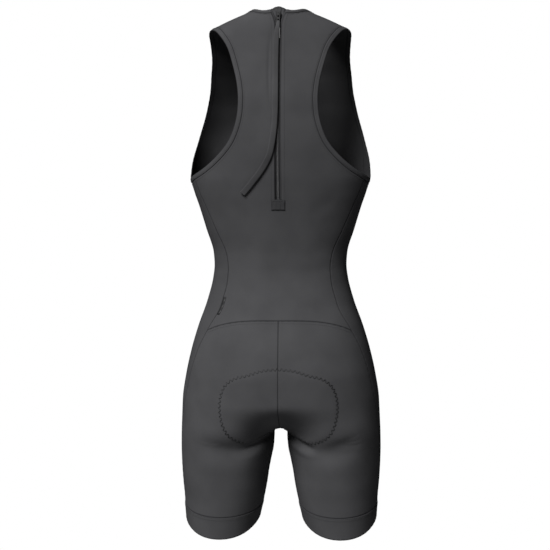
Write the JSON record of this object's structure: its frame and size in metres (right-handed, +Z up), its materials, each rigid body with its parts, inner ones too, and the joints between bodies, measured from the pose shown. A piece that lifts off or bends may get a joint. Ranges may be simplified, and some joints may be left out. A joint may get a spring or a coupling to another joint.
{
  "type": "triathlon suit",
  "caption": "Sleeveless one-piece stretch suit with short legs, a zip and webbing leash down the back, and gripper leg bands, filled out with no wearer.",
  "frame": {"origin": "between the shoulders, inside the neck opening, where the wearer carries the suit", "axes": "+Z up, +Y out of the back, +X to the wearer's left"},
  "size_m": [0.3314, 0.2446, 0.8696],
  "materials": {
    "main_knit": "matte charcoal elastane knit",
    "side_knit": "matte charcoal elastane knit",
    "edge_band": "matte folded elastane knit",
    "gripper_band": "matte dense elastic knit",
    "pad_fabric": "matte fleece-faced foam",
    "zip_tape": "matte woven tape",
    "nylon_coil": "satin",
    "guard_fabric": "soft brushed grey knit",
    "webbing": "ribbed woven tape",
    "slider_metal": "black, glossy"
  },
  "bodies": {
    "suit": {"back_upper": "main_knit", "front_upper": "main_knit", "seat_left": "main_knit", "seat_right": "main_knit", "front_leg_left": "main_knit", "front_leg_right": "main_knit", "side_left": "side_knit", "side_right": "side_knit", "armhole_band_left": "edge_band", "armhole_band_right": "edge_band", "neck_band": "edge_band", "leg_band_left": "gripper_band", "leg_band_right": "gripper_band", "seat_pad": "pad_fabric", "zip_tape_left": "zip_tape", "zip_tape_right": "zip_tape", "zip_end_patch": "zip_tape", "zip_coil": "nylon_coil", "zip_guard": "guard_fabric", "zip_leash": "webbing", "label_tab": "webbing", "zip_slider": "slider_metal"},
    "pull_tab": {"zip_pull_tab": "slider_metal"}
  },
  "joints": [
    {"name": "pull_tab_hinge", "type": "hinge", "parent": "suit", "child": "pull_tab", "pos_m": [0, 0.05427, 0.00095], "axis": [1, 0, 0], "range_deg": [0, 150], "deforming": ["zip_leash"]}
  ]
}
